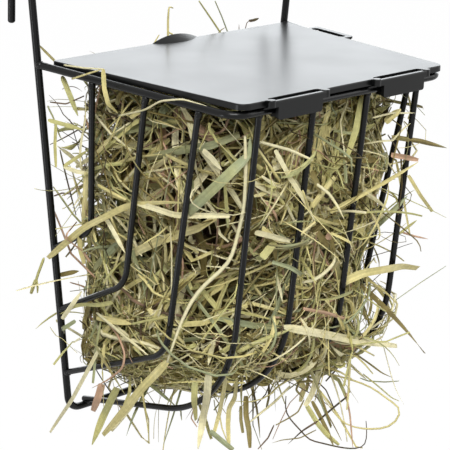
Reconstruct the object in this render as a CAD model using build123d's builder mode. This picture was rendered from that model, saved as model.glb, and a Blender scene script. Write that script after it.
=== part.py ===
"""Hanging hay rack with a hinged lid.

The rack hangs from the top rail of a cage on the two hooks of its back frame. A bent wire rim carries
the lid, and ten thinner bent wires, welded to the rim and to the back frame, hold the hay. The moulded
lid turns on the front of the rim, in two clips, and is lifted by the finger hood at its back edge.

Frame: X to the right seen from the front, Y to the back (the cage wall), Z up. The origin is the middle
of the cage rail that both hooks go over. All sizes are in millimetres.
"""

import os
from math import cos, hypot, radians, sin, tan

from build123d import *

# Wire
frame_wire = 4.4  # diameter of the back frame and the rim
grid_wire = 3.6  # diameter of the wires that hold the hay
weld_bite = 0.6  # how far one wire sinks into the other at a weld

# Back frame: two legs that lean in towards the bottom, joined by a rail
hook_radius = 9.0  # centre-line radius of the bend over the cage rail
hook_flare = 9.0  # degrees that a hook's free end leans away from its leg
hook_end_z = -21.5
hook_end_rounding = 1.3
leg_half_width = 97.4  # from the middle to a leg, at the height of the lid
leg_lean = 5.8  # degrees
rail_drop = 219.0  # from the lid's top to the middle of the rail
rail_corner_radius = 9.0

# Rim: a wire bent to a U, lower at the front than at the back
lid_top_z = -39.5
rim_back_drop = 3.0  # from the lid's top to the middle of the rim at the legs
rim_front_drop = 6.8
rim_front_y = -154.9
rim_front_half_width = 80.7
rim_corner_radius = 11.0

# Front wires: down the front, round the bottom and back to the rail
front_wire_x = (-62.0, -21.0, 21.0, 62.0)
front_wire_inset = 1.5  # from the middle of the rim back to the middle of the wire
front_wire_drop = 0.6  # from the middle of the rim down to the wire's end
front_bend = (-134.4, -224.6)  # Y and Z where the two straight runs would meet
front_bend_radius = 73.6
rail_overshoot = 2.0  # how far the wires reach past the middle of the rail

# Side wires, back to front: Y at the rim, Y and Z of the bend, its radius, Z at the leg
side_wires = (
    (-51.6, (-44.7, -134.3), 14.0, -152.5),
    (-91.8, (-70.5, -160.7), 22.0, -191.8),
    (-129.8, (-101.6, -194.2), 25.0, -233.3),
)

# Lid: a plate with a turned-down edge, narrower at the front
lid_back_y = -15.6
lid_front_y = -158.6
lid_back_half_width = 92.5
lid_front_half_width = 78.5
lid_height = 3.4
lid_plate = 1.8
lid_wall = 1.8
lid_front_radius = 6.0
lid_back_radius = 2.5
lid_edge_radius = 0.6

# Hinge clips on the lid's front edge
clip_x = 40.2  # from the middle of the lid to the middle of a clip
clip_slot_length = 38.4
slot_width = 5.0
clip_reach = 4.2  # how far the strip in front of a slot stands out from the lid's edge
strip_width = 2.3
strip_shoulder = 2.6  # length of the strip past each end of its slot
strip_radius = 2.4
nub_radius = 2.4  # round end of a strip
nub_rise = 0.5  # how far it stands above the plate
nub_setback = 1.7  # from the strip's end to the middle of the nub
nub_reach = 0.3  # how far it stands out from the strip
nub_edge_radius = 0.45
flap_width = 33.0
flap_drop = 10.5  # from the lid's top to the flap's lower edge
flap_thickness = 2.2
flap_corner_radius = 1.6
flap_offset = 0.3  # the flap's middle is this far outside the middle of its slot
claw_width = 26.0
claw_reach = 1.5  # how far the claw's lip goes past the middle of the rim
saddle_width = 2.4
saddle_spacing = 30.0
saddle_depth = 4.4
saddle_rise = 0.6  # from the middle of the rim up to a saddle's lower end
hinge_clearance = 0.08

# Side clip near the back of the lid's right edge
side_clip_start = 25.0  # from the lid's back corner to the slot, along the edge
side_slot_length = 29.0
side_clip_reach = 7.4
side_slot_reach = 3.9
side_strip_thickness = 1.3
side_cheek_thickness = 1.6
side_cheek_drop = 6.4

# Finger hood: a thin spherical cap that rises from the plate to the lid's back edge
hood_width = 35.0
hood_depth = 7.0
hood_height = 3.6
hood_wall = 1.6

frame_radius = frame_wire / 2
grid_radius = grid_wire / 2
leg_y = -hook_radius
weld_y = leg_y - frame_radius + weld_bite  # where wires butt against the fronts of the legs
rail_z = lid_top_z - rail_drop
rim_back_z = lid_top_z - rim_back_drop
rim_front_z = lid_top_z - rim_front_drop
strip_front_y = lid_front_y - clip_reach
slot_back_y = strip_front_y + strip_width + slot_width


def leg_x(z):
    """Distance from the middle to a leg at height z."""
    return leg_half_width + (z - lid_top_z) * tan(radians(leg_lean))


def rim_share(y):
    """How far y is along the rim's side: 0 at the leg, 1 at the front."""
    return (y - leg_y) / (rim_front_y - leg_y)


def rim_side_x(y):
    """Distance from the middle to the rim's side at y."""
    back = leg_x(rim_back_z)
    return back + (rim_front_half_width - back) * rim_share(y)


def rim_side_z(y):
    """Height of the rim's side at y."""
    return rim_back_z + (rim_front_z - rim_back_z) * rim_share(y)


def bent_wire(path, diameter):
    """A round wire along a path."""
    with BuildPart() as wire:
        with BuildSketch(Plane(origin=path @ 0, z_dir=path % 0)):
            Circle(diameter / 2)
        sweep(path=path)
    return wire


def lid_corners(inset):
    """The lid's trapezium, its edges moved in by inset."""
    slope = (lid_back_half_width - lid_front_half_width) / (lid_back_y - lid_front_y)
    across = inset * hypot(1, slope)
    back = lid_back_half_width - across - inset * slope
    front = lid_front_half_width - across + inset * slope
    return [
        (-back, lid_back_y - inset),
        (back, lid_back_y - inset),
        (front, lid_front_y + inset),
        (-front, lid_front_y + inset),
    ]


os.makedirs("parts", exist_ok=True)

# Back frame: one wire, from one hook's end to the other's
crown = Vector(leg_x(0), 0, 0)
leg_direction = Vector(tan(radians(leg_lean)), 0, 1).normalized()
leg_top = crown + Vector(0, leg_y, 0)
bend_turn = radians(180 - hook_flare)
bend_end = crown + Vector(0, leg_y, 0) * cos(bend_turn) + leg_direction * hook_radius * sin(bend_turn)
with BuildLine() as frame_path:
    FilletPolyline(
        (0, leg_y, rail_z),
        (leg_x(rail_z), leg_y, rail_z),
        leg_top,
        radius=rail_corner_radius,
    )
    bend = ThreePointArc(leg_top, crown + leg_direction * hook_radius, bend_end)
    way = bend % 1
    Line(bend_end, bend_end + way * ((hook_end_z - bend_end.Z) / way.Z))
    mirror(about=Plane.YZ)
whole_path = frame_path.wire()
with BuildPart() as back_frame:
    with BuildSketch(Plane(origin=whole_path @ 0, z_dir=whole_path % 0)):
        Circle(frame_radius)
    sweep(path=whole_path)
    hook_ends = back_frame.faces().filter_by(GeomType.PLANE)
    fillet(hook_ends.edges(), hook_end_rounding)
back_frame.part.label = "back_frame"
export_step(back_frame.part, "parts/back_frame.step")

# Rim: its two ends are butt welded to the fronts of the legs
with BuildLine() as rim_path:
    FilletPolyline(
        (-rim_side_x(weld_y), weld_y, rim_side_z(weld_y)),
        (-rim_front_half_width, rim_front_y, rim_front_z),
        (rim_front_half_width, rim_front_y, rim_front_z),
        (rim_side_x(weld_y), weld_y, rim_side_z(weld_y)),
        radius=rim_corner_radius,
    )
top_rim = bent_wire(rim_path.wire(), frame_wire)
top_rim.part.label = "top_rim"
export_step(top_rim.part, "parts/top_rim.step")

# Front wires, left to right
front_top = Vector(0, rim_front_y + front_wire_inset, rim_front_z - front_wire_drop)
front_corner = Vector(0, *front_bend)
over_rail = Vector(0, leg_y, rail_z + frame_radius + grid_radius - weld_bite)
front_end = over_rail + (over_rail - front_corner).normalized() * rail_overshoot
for number, x in enumerate(front_wire_x, start=1):
    shift = Vector(x, 0, 0)
    with BuildLine() as front_path:
        FilletPolyline(
            front_top + shift,
            front_corner + shift,
            front_end + shift,
            radius=front_bend_radius,
        )
    front_wire = bent_wire(front_path.wire(), grid_wire)
    front_wire.part.label = f"front_wire_{number}"
    export_step(front_wire.part, f"parts/front_wire_{number}.step")

# Side wires, back to front, each in the upright plane from the rim to its weld on the leg
for side, sign in (("left", -1), ("right", 1)):
    for number, (top_y, (bend_y, bend_z), radius, leg_z) in enumerate(side_wires, start=1):
        top_x = rim_side_x(top_y)
        top_z = rim_side_z(top_y) - frame_radius + weld_bite
        bend_share = (bend_z - top_z) / (leg_z - top_z)
        bend_x = top_x + (leg_x(leg_z) - top_x) * bend_share
        with BuildLine() as side_path:
            FilletPolyline(
                (sign * top_x, top_y, top_z),
                (sign * bend_x, bend_y, bend_z),
                (sign * leg_x(leg_z), weld_y, leg_z),
                radius=radius,
            )
        side_wire = bent_wire(side_path.wire(), grid_wire)
        side_wire.part.label = f"{side}_side_wire_{number}"
        export_step(side_wire.part, f"parts/{side}_side_wire_{number}.step")

# Finger hood: a cap of a sphere whose edge on the plate is the hood's half-moon outline
hood_plan_radius = ((hood_width / 2) ** 2 + hood_depth**2) / (2 * hood_depth)
hood_centre_y = lid_back_y - hood_depth + hood_plan_radius
hood_edge_distance = hood_plan_radius - hood_depth
hood_span = (hood_plan_radius**2 - hood_edge_distance**2) / hood_height
hood_sphere_rise = (hood_span + hood_height) / 2
hood_sphere_radius = hypot(hood_sphere_rise, hood_edge_distance)
hood_sphere_z = lid_top_z + hood_height - hood_sphere_rise
with BuildPart() as finger_hood:
    with Locations((0, hood_centre_y, hood_sphere_z)):
        Sphere(hood_sphere_radius)
        Sphere(hood_sphere_radius - hood_wall, mode=Mode.SUBTRACT)
    with BuildSketch(Plane.XY.offset(lid_top_z - lid_plate)):
        with Locations((0, lid_back_y)):
            Rectangle(2 * hood_width, 2 * hood_depth, align=(Align.CENTER, Align.MAX))
    extrude(amount=lid_plate + hood_height, mode=Mode.INTERSECT)

# Lid
side_edge = Vector(lid_front_half_width - lid_back_half_width, lid_front_y - lid_back_y, 0).normalized()
side_middle = Vector(lid_back_half_width, lid_back_y, lid_top_z) + side_edge * (
    side_clip_start + side_slot_length / 2
)
side_plane = Plane(origin=side_middle, x_dir=side_edge, z_dir=(0, 0, 1))  # its Y points out
with BuildPart() as lid:
    # Plate and turned-down edge, with the strips in front of the two slots
    with BuildSketch(Plane.XY.offset(lid_top_z)) as lid_face:
        with BuildLine():
            Polyline(*lid_corners(0), close=True)
        make_face()
        fillet(lid_face.vertices().group_by(Axis.Y)[0], lid_front_radius)
        fillet(lid_face.vertices().group_by(Axis.Y)[-1], lid_back_radius)
        with Locations((-clip_x, strip_front_y), (clip_x, strip_front_y)):
            RectangleRounded(
                clip_slot_length + 2 * strip_shoulder,
                2 * clip_reach,
                strip_radius,
                align=(Align.CENTER, Align.MIN),
            )
    extrude(amount=-lid_height)
    fillet(lid.faces().group_by(Axis.Z)[-1].edges(), lid_edge_radius)
    with BuildSketch(Plane.XY.offset(lid_top_z - lid_plate)) as lid_recess:
        with BuildLine():
            Polyline(*lid_corners(lid_wall), close=True)
        make_face()
        fillet(lid_recess.vertices().group_by(Axis.Y)[0], lid_front_radius - lid_wall)
    extrude(amount=-(lid_height - lid_plate), mode=Mode.SUBTRACT)

    # Nubs at the strips' ends
    nub_spacing = clip_slot_length + 2 * (strip_shoulder - nub_setback)
    with BuildSketch(Plane.XY.offset(lid_top_z + nub_rise)):
        for side in (-1, 1):
            for end in (-1, 1):
                nub_x = side * clip_x + end * nub_spacing / 2
                with Locations((nub_x, strip_front_y - nub_reach + nub_radius)):
                    Circle(nub_radius)
    extrude(amount=-(lid_height + nub_rise))
    fillet(lid.faces().group_by(Axis.Z)[-1].edges(), nub_edge_radius)

    # Claws: the flap outside the rim, the lip under it and the saddles above and behind it
    for side in (-1, 1):
        flap_x = side * (clip_x + flap_offset)
        with BuildSketch(Plane.XZ.offset(-strip_front_y)) as flap_face:
            with Locations((flap_x, lid_top_z - lid_edge_radius)):
                Rectangle(flap_width, flap_drop - lid_edge_radius, align=(Align.CENTER, Align.MAX))
            fillet(flap_face.vertices().group_by(Axis.Z)[0], flap_corner_radius)
        extrude(amount=-flap_thickness)
        with BuildSketch(Plane.YZ.offset(flap_x)):
            with Locations((strip_front_y, lid_top_z - flap_drop)):
                Rectangle(
                    rim_front_y + claw_reach - strip_front_y,
                    flap_drop - rim_front_drop,
                    align=(Align.MIN, Align.MIN),
                )
        extrude(amount=claw_width / 2, both=True)
        for end in (-1, 1):
            with BuildSketch(Plane.YZ.offset(flap_x + end * saddle_spacing / 2)):
                with Locations((slot_back_y, lid_top_z)):
                    Rectangle(
                        saddle_depth,
                        rim_front_drop - saddle_rise,
                        align=(Align.MIN, Align.MAX),
                    )
            extrude(amount=saddle_width / 2, both=True)

    # Side clip on the right edge: a strip above the rim and a cheek outside it
    with BuildSketch(side_plane):
        with Locations((0, (side_clip_reach - lid_wall) / 2)):
            RectangleRounded(
                side_slot_length + 2 * strip_shoulder,
                side_clip_reach + lid_wall,
                strip_radius,
            )
    extrude(amount=-side_strip_thickness)
    with BuildSketch(side_plane):
        with Locations((0, side_clip_reach - side_cheek_thickness / 2)):
            Rectangle(side_slot_length, side_cheek_thickness)
    extrude(amount=-side_cheek_drop)
    with BuildSketch(side_plane):
        with Locations((0, side_slot_reach - slot_width / 2)):
            SlotOverall(side_slot_length, slot_width)
    extrude(amount=-lid_height, mode=Mode.SUBTRACT)

    # Slots above the claws, and room for the rim to turn in
    with BuildSketch(Plane.XY.offset(lid_top_z)):
        with Locations(
            (-clip_x, slot_back_y - slot_width / 2),
            (clip_x, slot_back_y - slot_width / 2),
        ):
            SlotOverall(clip_slot_length, slot_width)
    extrude(amount=-lid_height, mode=Mode.SUBTRACT)
    with BuildSketch(Plane.YZ):
        with Locations((rim_front_y, rim_front_z)):
            Circle(frame_radius + hinge_clearance)
    extrude(amount=lid_front_half_width, both=True, mode=Mode.SUBTRACT)

    # The plate is open under the hood, so that a fingertip reaches it from behind
    with BuildSketch(Plane.XY.offset(lid_top_z)):
        with Locations((0, hood_centre_y)):
            Circle(hood_plan_radius - hood_wall)
        with Locations((0, lid_back_y + lid_wall)):
            Rectangle(
                2 * hood_width,
                2 * hood_depth,
                align=(Align.CENTER, Align.MAX),
                mode=Mode.INTERSECT,
            )
    extrude(amount=-lid_height, mode=Mode.SUBTRACT)
    add(finger_hood.part)
lid.part.label = "lid"
export_step(lid.part, "parts/lid.step")
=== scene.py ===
"""Hanging hay rack filled with hay: finishes, welds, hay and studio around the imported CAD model.

Everything is in the CAD frame: X to the right seen from the front, Y to the back, Z up, the origin in the
middle of the cage rail. Shapes are worked out in millimetres and become metres when a mesh is made.
"""

from functools import cache
from math import cos, radians, sin

import bpy
import numpy as np
from bpy.props import FloatProperty, FloatVectorProperty, IntProperty, PointerProperty
from mathutils import Matrix, Vector


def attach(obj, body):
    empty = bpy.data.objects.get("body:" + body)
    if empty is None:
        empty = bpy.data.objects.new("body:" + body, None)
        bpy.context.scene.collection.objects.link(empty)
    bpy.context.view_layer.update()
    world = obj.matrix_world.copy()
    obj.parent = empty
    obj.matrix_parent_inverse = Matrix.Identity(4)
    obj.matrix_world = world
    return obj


bl_info = {
    "name": "Hay Rack",
    "version": (1, 0, 0),
    "blender": (4, 5, 0),
    "location": "3D View > Sidebar > Hay Rack",
    "description": "Finishes, hay and studio for a hanging hay rack",
    "category": "Object",
}

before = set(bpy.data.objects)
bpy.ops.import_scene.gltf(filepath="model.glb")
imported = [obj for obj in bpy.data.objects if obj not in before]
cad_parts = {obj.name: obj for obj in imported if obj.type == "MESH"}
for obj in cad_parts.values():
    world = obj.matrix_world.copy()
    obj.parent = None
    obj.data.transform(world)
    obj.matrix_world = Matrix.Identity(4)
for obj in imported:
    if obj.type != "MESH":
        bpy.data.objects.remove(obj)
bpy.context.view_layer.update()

MM = 0.001

# The rack's shape, in millimetres, as the CAD model has it
HINGE_YZ = np.array([-154.9, -46.3])  # middle of the rim's front
HINGE_ROOM = 12.0  # what the clips sweep round it
CLIP_END_X = 67.0
LID_UNDERSIDE_Z = -43.6
RIM_BACK_X, RIM_FRONT_X = 97.1, 80.7
LEG_Y = -9.0
FRONT_TOP = np.array([-153.4, -46.9])  # Y and Z of the front wires: top, bend and rail
FRONT_BEND = np.array([-134.4, -224.6])
FRONT_END = np.array([-9.0, -255.1])
FRONT_BEND_RADIUS = 73.6
FRONT_WIRE_X = (-62.0, -21.0, 21.0, 62.0)
FRONT_WIRE_GAP = 41.3  # from one to the next, on average
CORNER_RADIUS = 11.0  # of the surface that the wires lie in, where its front and sides meet
# Y and Z of a side wire's top, bend and end, and the radius of its bend
SIDE_WIRES = (
    ((-51.6, -45.7), (-44.7, -134.3), (-10.9, -152.5), 14.0),
    ((-91.8, -46.8), (-70.5, -160.7), (-10.9, -191.8), 22.0),
    ((-129.8, -47.8), (-101.6, -194.2), (-10.9, -233.3), 25.0),
)
LEG_LEAN = 0.1016  # mm inwards for each mm down
LEG_TOP_X, LEG_TOP_Z = 97.4, -39.5
LEG_END_Z = 11.0  # where the hooks begin
RAIL_Z = -258.5
RIM_BACK_Z = -42.5
WIRE_RADIUS = 1.8  # of the thin wires
LID_BACK_Y, LID_FRONT_Y = -15.6, -158.6
LID_BACK_X, LID_FRONT_X = 92.5, 78.5
LEFT_OVERHANG, RIGHT_OVERHANG = 3.0, 12.0  # how far loose strands reach past the legs
STANDING_Y = -5.0  # the upright plane behind the lid that strands stand in
LOW_Z = -165.0  # below it the hay is looser, and lies clear of the bottom wires at the left
HAY_BACK_Y = -13.5
RIM_ROOM = 5.5  # what loose strands keep off the rim's front beside the clips
LID_ROOM, LID_FRONT_ROOM = 0.8, 6.0  # and off the lid's edges and its front one
SIDE_CLIP = (103.0, -80.0)  # the side clip's outer X, and the Y that it lies behind
HAY_LOW, HAY_HIGH = [-117.0, -174.0, -277.0], [117.0, 26.0, 25.0]  # the box that all hay stays in
# The boxes that random places are drawn in: least and greatest X, Y and Z
PACKED_BOX = [-95, -165, -255], [95, -12, -46]
CORNER_BOX = [-90, -56, -215], [-64, -14, -56]
STANDING_BOX = [-84, -13.5, -66], [36, -8, -50]
RACK_MIDDLE = Vector((0, -0.08, -0.13))  # in metres, where the lamps point

# The camera that the photograph was taken with, in the rack's frame, for an image of 450 x 450
VIEW_AZIMUTH = radians(-42.95)
VIEW_ELEVATION = radians(17.22)
VIEW_ROLL = radians(1.304)
VIEW_TARGET = np.array([-37.51, -98.85, -122.75])
VIEW_DISTANCE = 1085.95
FOCAL_PIXELS = 1924.0
IMAGE_PIXELS = 450.0
IMAGE_CENTRE = (220.1, 217.8)


# Where each hay colour lies on the colour ramp, and the shares of each in the kinds of strand
TINTS = {
    "rust": 0.0, "umber": 0.17, "olive": 0.34, "grey_green": 0.5, "yellow_green": 0.66, "straw": 0.83,
    "cream": 1.0,
}
# Tints of the strands deep inside the hay, mostly dark umber and olive: painted shade, so the gaps between
# the strands look dark
CORE_PAINTED_SHADE_SHARES = {"umber": 5, "olive": 4, "rust": 1}
LEAF_SHARES = {
    "umber": 2, "olive": 21, "grey_green": 10, "yellow_green": 22, "straw": 22, "cream": 15, "rust": 2,
}
STEM_SHARES = {"umber": 10, "olive": 15, "yellow_green": 17, "straw": 28, "cream": 25, "rust": 5}
TOP_SHARES = {"olive": 14, "grey_green": 9, "yellow_green": 20, "straw": 28, "cream": 22, "rust": 2}
KIND_SHARES = (0.42, 0.26, 0.32)  # of leaves, stems and fibres in the loose hay
FIBRE_SHARES = {"umber": 34, "olive": 24, "yellow_green": 12, "straw": 14, "cream": 8, "rust": 8}
CORNER_SHARES = {"umber": 52, "olive": 16, "yellow_green": 16, "straw": 12, "rust": 4}

# Hollows in the hay, dark because little light gets in: pixel of the 450 x 450 view, radius and depth in mm
HOLLOWS = (
    (150, 152, 15, 3), (188, 178, 13, 5), (374, 116, 16, 24), (177, 341, 18, 18), (248, 298, 19, 16),
    (236, 330, 15, 13), (205, 250, 14, 9), (292, 300, 12, 9), (312, 172, 11, 8), (312, 262, 15, 9),
    (300, 112, 13, 6),
)

# Layers of packed hay. The key is the count's name, "tries" how many strands are made for each that is kept,
# "near" what hay_centres takes, "level" how level they lie, "sunk" the least depth and the spread of it,
# "out" how much their flat sides face outwards and "corners" a stem's corners. For lengths, widths and
# thickness, see draw. "wide" names the setting that widths are a share of
LAYERS = {
    # The core's dark tints are painted shade deep inside the hay
    "core": {
        "tries": 1, "near": (50.0, 0.2, 0.97), "lengths": (50, 100), "level": 0.8, "bend": 0.9, "kink": 0.4,
        "rings": 7, "sunk": (13, 6), "widths": (4.0, 8.0), "thickness": (0.5,), "shares": CORE_PAINTED_SHADE_SHARES,
        "out": 1.5, "tips": 0.3,
    },
    "leaf": {
        "tries": 3, "near": (24.0,), "lengths": (52, 0.38, 20, 110), "level": 0.85, "bend": 0.22, "kink": 0.5,
        "rings": 9, "sunk": (0, 3.6), "wide": "leaf_width", "widths": (1, 0.45, 0.4, 2.2),
        "thickness": (0.2, 0.4), "shares": LEAF_SHARES, "out": 1.0, "tips": 0.35,
    },
    "stem": {
        "tries": 3, "near": (20.0,), "lengths": (56, 0.35, 22, 110), "level": 0.85, "bend": 0.12,
        "kink": 0.35, "rings": 9, "sunk": (0, 3.0), "wide": "stem_width", "widths": (1, 0.4, 0.5, 2.0),
        "oval": 0.8, "shares": STEM_SHARES, "out": 0.4, "tips": 0.2, "corners": 4,
    },
    "fibre": {
        "tries": 1, "near": (16.0,), "lengths": (36, 0.4, 12, 90), "level": 0.9, "bend": 0.7, "kink": 0.7,
        "rings": 9, "sunk": (-0.8, 2.0), "widths": (0.35, 0.8), "oval": 1.0, "shares": STEM_SHARES,
        "out": 0.4, "tips": 0.6, "corners": 4,
    },
    "chaff": {
        "tries": 1, "near": (14.0,), "lengths": (7, 24), "level": 1.0, "bend": 0.5, "kink": 0.6, "rings": 5,
        "sunk": (0, 1.8), "rounds": 2, "widths": (1.0, 3.4), "thickness": (0.2, 0.4),
        "shares": LEAF_SHARES, "out": 0.8, "tips": 0.5,
    },
}
LAYER_PIECES = dict(zip(LAYERS, ("hay_core", "hay_leaves", "hay_stems", "hay_fibres", "hay_chaff")))

# Single strands that stand out: colour, width in mm, and the points they pass, each a pixel of the
# 450 x 450 view and how far outside the wires (or, below 0, inside them) it lies there, in mm
LONG_BLADES = (
    ("straw", 3.8, (48, 258, 7), (83, 228, 6), (128, 205, -3.5), (167, 202, -4), (185, 203, -4)),
    ("grey_green", 5.6, (188, 213, -4), (228, 175, -3.5), (250, 154, -3), (250, 138, -4)),
    ("cream", 3.2, (138, 203, -4), (175, 215, -3), (230, 216, -4)),
    ("cream", 2.6, (275, 150, -3), (290, 178, 1), (303, 198, 4), (315, 221, 3)),
    ("straw", 4.2, (330, 212, -3), (352, 200, 3.5), (385, 182, 4.5), (418, 162, 8)),
    ("straw", 4.8, (167, 362, 5), (142, 388, 5), (122, 413, 6), (103, 435, 8)),
    ("cream", 2.6, (100, 348, 2), (72, 400, 8), (49, 434, 14), (52, 447, 15)),
    ("yellow_green", 4.4, (117, 388, -2), (103, 417, 5), (92, 445, 8)),
    ("cream", 4.8, (284, 327, 3), (318, 333, 4), (353, 340, 5), (397, 346, 8)),
    ("straw", 5.0, (338, 284, -3), (363, 273, 3), (403, 266, 5), (418, 268, 9)),
    ("straw", 2.6, (103, 69, 8), (104, 88, 7), (108, 104, 6), (118, 113, -4)),
    ("yellow_green", 3.0, (62, 76, -3), (71, 98, -2), (78, 116, -4)),
    ("yellow_green", 2.4, (48, 120, 2), (66, 125, -3), (84, 130, -5)),
    ("yellow_green", 1.8, (56, 124, 3), (55, 145, 4), (56, 167, 5)),
    ("yellow_green", 2.1, (64, 166, 2), (76, 158, -3), (88, 150, -5)),
    ("cream", 2.6, (64, 166, 2), (76, 171, -3), (88, 173, -5)),
    ("straw", 2.8, (86, 172, -3), (85, 200, -3), (82, 226, -4)),
    ("cream", 2.4, (107, 220, -4), (117, 238, -3), (125, 253, -4)),
    ("straw", 2.8, (79, 232, 1), (80, 248, 0), (84, 264, -3)),
    ("cream", 2.6, (62, 319, 6), (72, 305, 5), (82, 291, 1)),
    ("yellow_green", 2.2, (36, 280, 12), (33, 288, 12), (31, 294, 12)),
    ("yellow_green", 1.8, (36, 280, 12), (37, 288, 12), (37, 293, 12)),
    ("olive", 2.8, (60, 275, -2), (69, 273, -4), (79, 271, -6)),
    ("straw", 3.8, (97, 317, -4), (115, 321, -3), (132, 324, -3)),
    ("rust", 4.4, (102, 384, 1), (98, 398, 3), (93, 411, 5)),
    ("yellow_green", 3.6, (362, 98, -5), (356, 130, -3), (344, 166, -4)),
    ("straw", 4.2, (385, 122, -2), (394, 114, 2), (401, 109, 4)),
    ("olive", 2.8, (392, 137, -2), (420, 141, 4), (447, 148, 12)),
    ("straw", 3.0, (407, 176, 4), (419, 196, 8), (431, 212, 11)),
    ("rust", 3.0, (391, 155, -2), (404, 157, 3), (418, 160, 6)),
    ("grey_green", 3.6, (373, 229, -4), (390, 213, 1), (407, 196, 5)),
    ("straw", 3.0, (252, 150, -4), (246, 190, -4), (249, 232, -4)),
    ("cream", 3.6, (203, 150, -4), (212, 158, -4), (222, 170, -4)),
    ("straw", 3.8, (262, 228, -4), (275, 238, -3), (291, 243, -3)),
    ("cream", 3.2, (255, 232, -3), (272, 236, -2), (290, 241, -2)),
    ("olive", 4.6, (318, 232, -4), (324, 240, -4), (329, 246, -4)),
    ("yellow_green", 4.4, (262, 258, -4), (270, 248, -4), (277, 240, -4)),
    ("straw", 4.4, (313, 208, -4), (323, 194, -3), (336, 178, -3)),
    ("olive", 4.0, (311, 172, -4), (316, 182, -3), (321, 194, -3)),
    ("cream", 4.6, (209, 372, 1), (207, 398, 4), (203, 420, 6), (198, 449, 9)),
    ("yellow_green", 3.6, (195, 382, 0), (194, 400, 4), (196, 420, 6)),
    ("straw", 2.4, (226, 378, 1), (222, 400, 4), (219, 415, 6), (214, 433, 8)),
    ("straw", 2.8, (237, 380, 1), (235, 398, 3), (229, 408, 4), (228, 425, 6), (229, 446, 9)),
    ("olive", 3.2, (246, 396, 2), (246, 415, 5), (249, 430, 7), (250, 448, 9)),
    ("olive", 2.0, (241, 406, 3), (241, 420, 5), (243, 433, 7)),
    ("grey_green", 3.0, (210, 431, 5), (222, 441, 7), (233, 450, 9)),
    ("cream", 3.6, (324, 348, 2), (319, 372, 3), (312, 394, 4), (305, 406, 5)),
    ("yellow_green", 3.0, (307, 406, 4), (318, 424, 6), (328, 436, 8), (339, 445, 9)),
    ("olive", 2.4, (312, 401, 4), (320, 416, 6), (328, 432, 8), (334, 447, 9)),
)
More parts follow.
